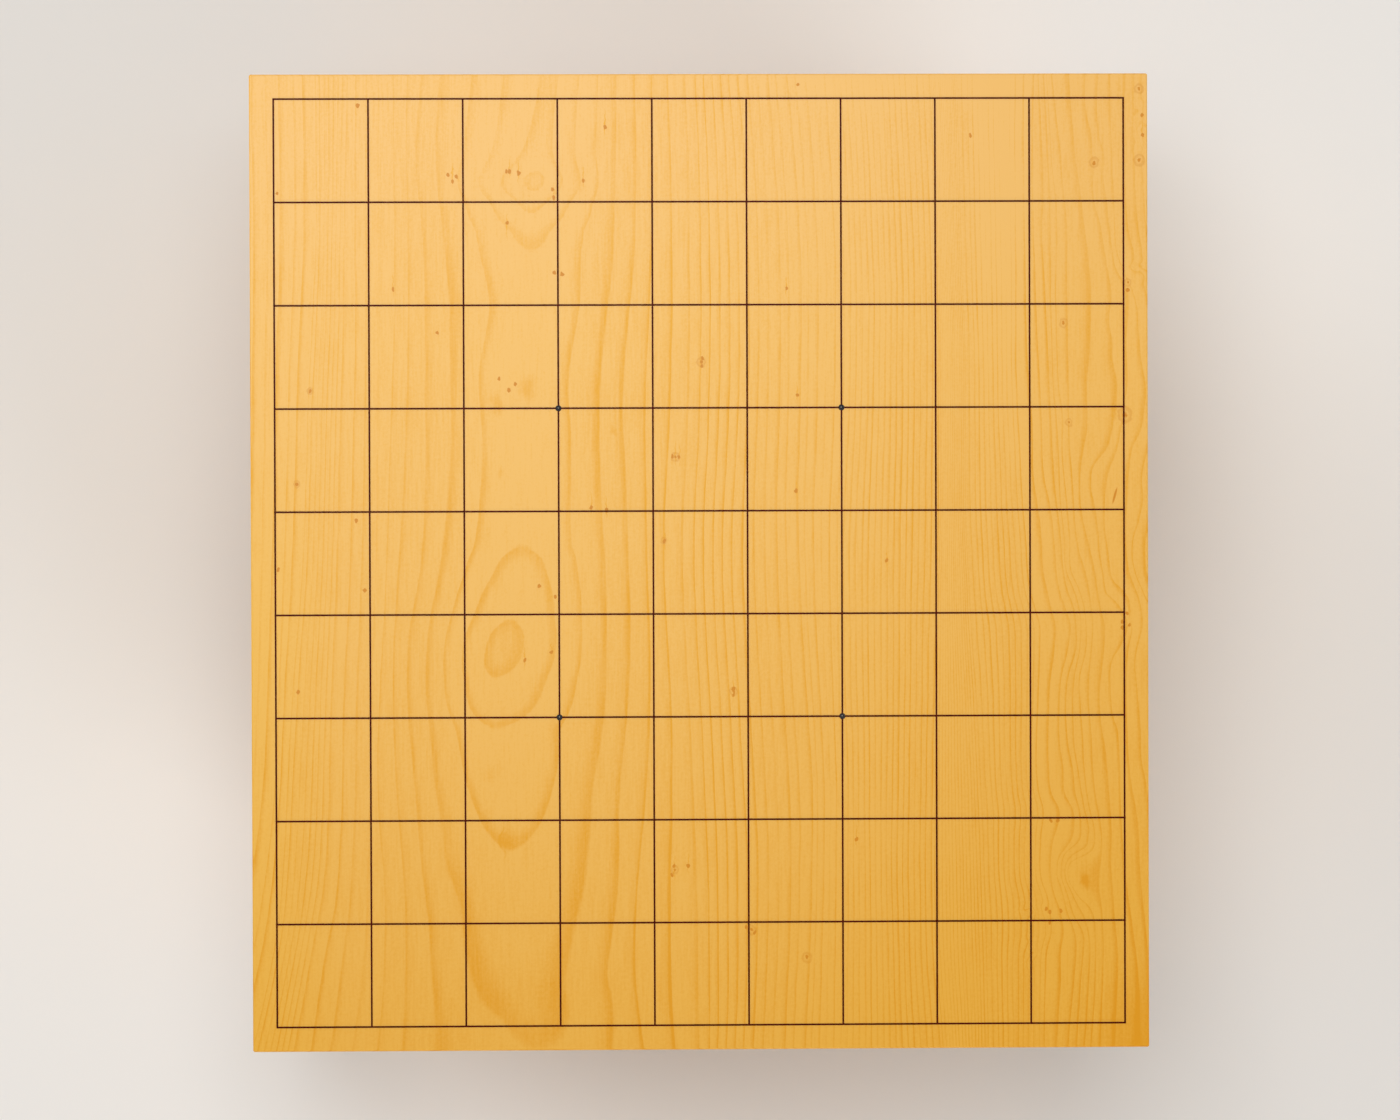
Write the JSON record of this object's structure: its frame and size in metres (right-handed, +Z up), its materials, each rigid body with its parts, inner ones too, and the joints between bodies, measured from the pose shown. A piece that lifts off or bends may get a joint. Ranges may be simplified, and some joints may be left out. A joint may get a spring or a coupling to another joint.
{
  "type": "legged shogi board",
  "caption": "Thick wooden board ruled with a square-celled lacquer grid and star points, standing on carved, pull-out legs, with a square navel cut in its underside.",
  "frame": {"origin": "floor level under the centre of the board", "axes": "+Z up out of the playing surface, +Y from the near player to the far player along the board's length, +X to the near player's right"},
  "size_m": [0.333, 0.362, 0.246],
  "materials": {
    "board_wood": "satin",
    "leg_wood": "satin",
    "lacquer": "gloss"
  },
  "bodies": {
    "board": {"board_block": "board_wood", "file_line_1": "lacquer", "file_line_2": "lacquer", "file_line_3": "lacquer", "file_line_4": "lacquer", "file_line_5": "lacquer", "file_line_6": "lacquer", "file_line_7": "lacquer", "file_line_8": "lacquer", "file_line_9": "lacquer", "file_line_10": "lacquer", "rank_line_1": "lacquer", "rank_line_2": "lacquer", "rank_line_3": "lacquer", "rank_line_4": "lacquer", "rank_line_5": "lacquer", "rank_line_6": "lacquer", "rank_line_7": "lacquer", "rank_line_8": "lacquer", "rank_line_9": "lacquer", "rank_line_10": "lacquer", "star_near_left": "lacquer", "star_near_right": "lacquer", "star_far_left": "lacquer", "star_far_right": "lacquer"},
    "near_left_leg": {"leg_near_left": "leg_wood"},
    "near_right_leg": {"leg_near_right": "leg_wood"},
    "far_left_leg": {"leg_far_left": "leg_wood"},
    "far_right_leg": {"leg_far_right": "leg_wood"}
  },
  "joints": [
    {"name": "near_left_leg_pull", "type": "slide", "parent": "board", "child": "near_left_leg", "axis": [0, 0, -1], "range_m": [0, 0.03]},
    {"name": "near_right_leg_pull", "type": "slide", "parent": "board", "child": "near_right_leg", "axis": [0, 0, -1], "range_m": [0, 0.03]},
    {"name": "far_left_leg_pull", "type": "slide", "parent": "board", "child": "far_left_leg", "axis": [0, 0, -1], "range_m": [0, 0.03]},
    {"name": "far_right_leg_pull", "type": "slide", "parent": "board", "child": "far_right_leg", "axis": [0, 0, -1], "range_m": [0, 0.03]}
  ]
}
